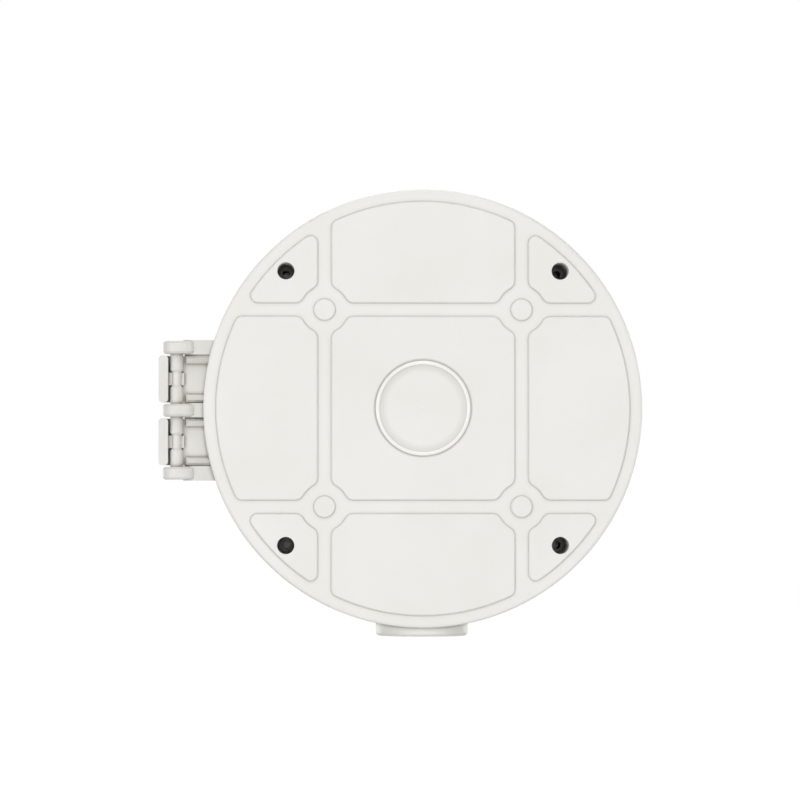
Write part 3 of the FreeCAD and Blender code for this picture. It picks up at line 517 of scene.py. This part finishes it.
def make_world():
    world = bpy.data.worlds.new("white room")
    world.use_nodes = True
    tree = world.node_tree
    tree.nodes.clear()
    rays = add_node(tree, "ShaderNodeLightPath")
    direct = add_node(tree, "ShaderNodeMath", {
        0: rays.outputs["Is Camera Ray"], 1: rays.outputs["Is Transmission Ray"]},
        operation="MAXIMUM")
    mirrored = add_node(tree, "ShaderNodeMath", {
        0: rays.outputs["Is Glossy Ray"], 1: MIRRORED_WHITE}, operation="MULTIPLY")
    seen = add_node(tree, "ShaderNodeMath", {0: direct.outputs[0], 1: mirrored.outputs[0]},
                    operation="MAXIMUM")
    light = add_node(tree, "ShaderNodeBackground", {"Color": linear("#FFFFFF"),
                                                    "Strength": ROOM_LIGHT})
    white = add_node(tree, "ShaderNodeBackground", {"Color": linear("#FFFFFF"), "Strength": 1.0})
    mix = add_node(tree, "ShaderNodeMixShader", {0: seen.outputs[0], 1: light.outputs[0],
                                                 2: white.outputs[0]})
    add_node(tree, "ShaderNodeOutputWorld", {"Surface": mix.outputs[0]})
    bpy.context.scene.world = world
    print("made the", world.name)


make_world()

# %% [markdown]
# The floor
#
# The floor is a light table: a sheet of pale acrylic that glows a little for the camera and lets
# the lamp below shine through. Its own colour is a light grey rather than white, because a white
# sheet throws so much light back that the boss and the lower edge of the disc lose their shade.

# %% Floor
FLOOR_SIZE = 12             # metres
FLOOR_LEVEL = -160 * MM
FLOOR_LIFT = 0.8            # share of white that the sheet adds for the camera
FLOOR_COLOUR = "#BCBCBC"


def make_floor():
    bpy.ops.mesh.primitive_plane_add(size=FLOOR_SIZE, location=(0, 0, FLOOR_LEVEL))
    floor = bpy.context.object
    floor.name = "studio_floor"
    material = bpy.data.materials.new("white acrylic light table")
    material.use_nodes = True
    tree = material.node_tree
    tree.nodes.clear()
    rays = add_node(tree, "ShaderNodeLightPath")
    lift = add_node(tree, "ShaderNodeMath", {0: rays.outputs["Is Camera Ray"], 1: FLOOR_LIFT},
                    operation="MULTIPLY")
    top = add_node(tree, "ShaderNodeBsdfPrincipled", {
        "Base Color": linear(FLOOR_COLOUR), "Roughness": 0.9,
        "Emission Color": linear("#FFFFFF"), "Emission Strength": lift.outputs[0]})
    through = add_node(tree, "ShaderNodeBsdfTransparent")
    mix = add_node(tree, "ShaderNodeMixShader", {
        0: rays.outputs["Is Shadow Ray"], 1: top.outputs["BSDF"], 2: through.outputs["BSDF"]})
    add_node(tree, "ShaderNodeOutputMaterial", {"Surface": mix.outputs[0]})
    floor.data.materials.append(material)
    print("floor at", FLOOR_LEVEL, "m")


make_floor()

# %% [markdown]
# The lamps
#
# The picture has fine dark lines along the panels and nearly black holes. Both ask for four soft
# lamps in a ring round the view, 35 degrees off it, or 50 for the one above. A slope then turns
# away from three of them and goes dark, whichever way it faces, and none of them shines far down
# a hole. Their powers differ a little, so that the lines come out about equally dark all round.
# A second ring does the same for the lid side.

# %% Lamps
LAMP_DISTANCE = 1500 * MM
LAMP_SIZE = 700 * MM
LOW_ANGLE = math.radians(35)
HIGH_ANGLE = math.radians(50)
RING = {                    # sideways, upwards, angle off the view
    "above": (0, 1, HIGH_ANGLE),
    "below": (0, -1, LOW_ANGLE),
    "left": (-1, 0, LOW_ANGLE),
    "right": (1, 0, LOW_ANGLE),
}
WALL_LAMPS = {"above": 5.9, "below": 4.9, "left": 6.1, "right": 4.4}    # watts
LID_LAMPS = {"above": 8.8, "below": 3.0, "left": 5.0, "right": 4.8}     # watts


def add_lamp(name, direction, power):
    """Add a square soft lamp in a direction, turned towards the middle of the box."""
    data = bpy.data.lights.new(name, "AREA")
    data.shape = "SQUARE"
    data.size = LAMP_SIZE
    data.energy = power
    lamp = bpy.data.objects.new(name, data)
    lamp.location = Vector(direction).normalized() * LAMP_DISTANCE
    lamp.rotation_euler = (-lamp.location).to_track_quat("-Z", "Y").to_euler()
    bpy.context.scene.collection.objects.link(lamp)


def add_ring(name, facing, powers):
    """Add four lamps round one side's view; facing is -1 for the wall side, 1 for the lid side."""
    for place, (sideways, upwards, angle) in RING.items():
        off = math.sin(angle)
        direction = (sideways * off, facing * math.cos(angle), upwards * off)
        add_lamp(f"{name} lamp {place}", direction, powers[place])
    print(name, "ring of", len(RING), "lamps")


add_ring("wall side", -1, WALL_LAMPS)
add_ring("lid side", 1, LID_LAMPS)

# %% [markdown]
# The camera
#
# The lens is long, about 170 mm, from 1.3 m away, which keeps the face round and shows almost
# nothing of the sides. The camera stands a little to the left and below the middle of the box:
# the lines that run into its depth meet there. It looks at the middle of the picture without a
# tilt.

# %% Camera
PIXELS = 800
FACE_WIDTH = 150 * MM
FACE_PIXELS = 440
FACE_CENTRE = (423.2, 408.1)
DEPTH_MEET = (315.0, 500.0)
CAMERA_DISTANCE = 1300 * MM
SENSOR = 36                 # millimetres, which is how Blender takes lens and sensor


def on_face(pixel):
    """Turn a pixel of the photograph into a point of the wall face."""
    across = (pixel[0] - FACE_CENTRE[0]) * FACE_WIDTH / FACE_PIXELS
    up = (FACE_CENTRE[1] - pixel[1]) * FACE_WIDTH / FACE_PIXELS
    return Vector((across, 0, up))


def make_camera():
    data = bpy.data.cameras.new("camera")
    data.sensor_width = SENSOR
    data.lens = SENSOR * CAMERA_DISTANCE / (PIXELS * FACE_WIDTH / FACE_PIXELS)
    camera = bpy.data.objects.new("camera", data)
    target = on_face((PIXELS / 2, PIXELS / 2))
    camera.location = on_face(DEPTH_MEET) + Vector((0, -CAMERA_DISTANCE, 0))
    camera.rotation_euler = (target - camera.location).to_track_quat("-Z", "Y").to_euler()
    bpy.context.scene.collection.objects.link(camera)
    bpy.context.scene.camera = camera
    print("lens", round(data.lens, 1), "mm")


make_camera()
bpy.context.scene.view_settings.view_transform = "Standard"
